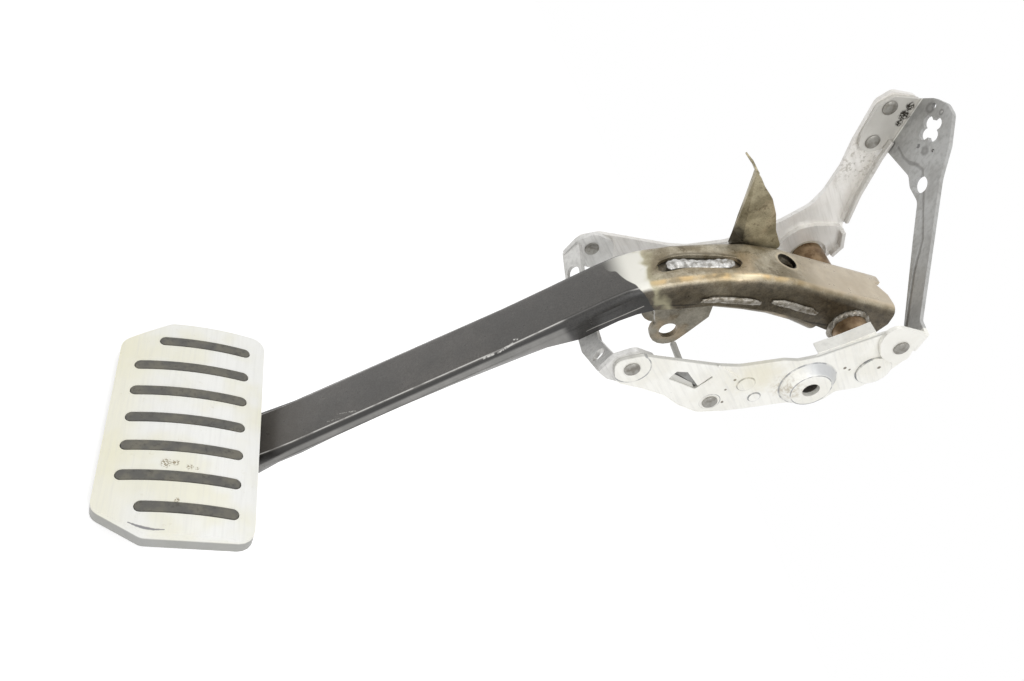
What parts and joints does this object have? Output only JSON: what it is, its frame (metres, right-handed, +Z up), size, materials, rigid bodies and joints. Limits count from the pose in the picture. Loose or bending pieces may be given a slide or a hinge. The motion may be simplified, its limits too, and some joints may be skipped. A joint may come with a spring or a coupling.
{
  "type": "brake pedal",
  "caption": "hanging brake pedal with a slotted steel-faced pad, a curved two-shell arm and a riveted sheet-metal carrier bracket round its pivot",
  "frame": {"origin": "centre of the push rod pin bore in the pedal's clevis, midway between the two ears", "axes": "+X to the front of the car, away from the driver; +Y to the car's left, along the pivot; +Z up, from the pad towards the pivot"},
  "size_m": [0.1355, 0.11, 0.3573],
  "materials": {
    "pad_steel": "pressed stainless sheet, satin, faintly yellowed and dusty",
    "pad_rubber": "dull grey rubber, dusty in the slots",
    "black_paint": "worn semi-gloss black paint over steel",
    "arm_zinc": "olive-brown passivated zinc at the hub, black dip paint below",
    "weld_metal": "bare weld bead, silvery brown",
    "bush_plastic": "off-white bearing plastic",
    "bright_zinc": "pale zinc plate, satin, warm tint",
    "grey_zinc": "duller grey zinc plate with smears",
    "dark_steel": "dark phosphated steel",
    "rivet_steel": "dull riveted steel"
  },
  "bodies": {
    "pedal": {"pad_cover": "pad_steel", "pad_rubber": "pad_rubber", "pad_plate": "black_paint", "foot_weld": "black_paint", "arm_rear_shell": "arm_zinc", "arm_front_shell": "black_paint", "pushrod_clevis": "arm_zinc", "slot_weld": "weld_metal", "seam_welds": "weld_metal", "switch_flag": "arm_zinc", "pivot_tube": "arm_zinc", "tube_welds": "weld_metal", "bush_left": "bush_plastic", "bush_right": "bush_plastic"},
    "bracket": {"right_plate": "bright_zinc", "left_plate": "bright_zinc", "front_strap": "bright_zinc", "rear_mount_plate": "grey_zinc", "pivot_pin": "bright_zinc", "boss_nut": "dark_steel", "spring_peg": "bright_zinc", "strap_rivet_left": "rivet_steel", "strap_rivet_right": "rivet_steel", "side_rivet": "rivet_steel", "foot_rivet": "rivet_steel", "upper_rivets": "rivet_steel"}
  },
  "joints": [
    {"name": "pedal_pivot", "type": "hinge", "parent": "bracket", "child": "pedal", "pos_m": [0.0378, 0, 0.0693], "axis": [0, 1, 0], "range_deg": [0, 25]}
  ]
}
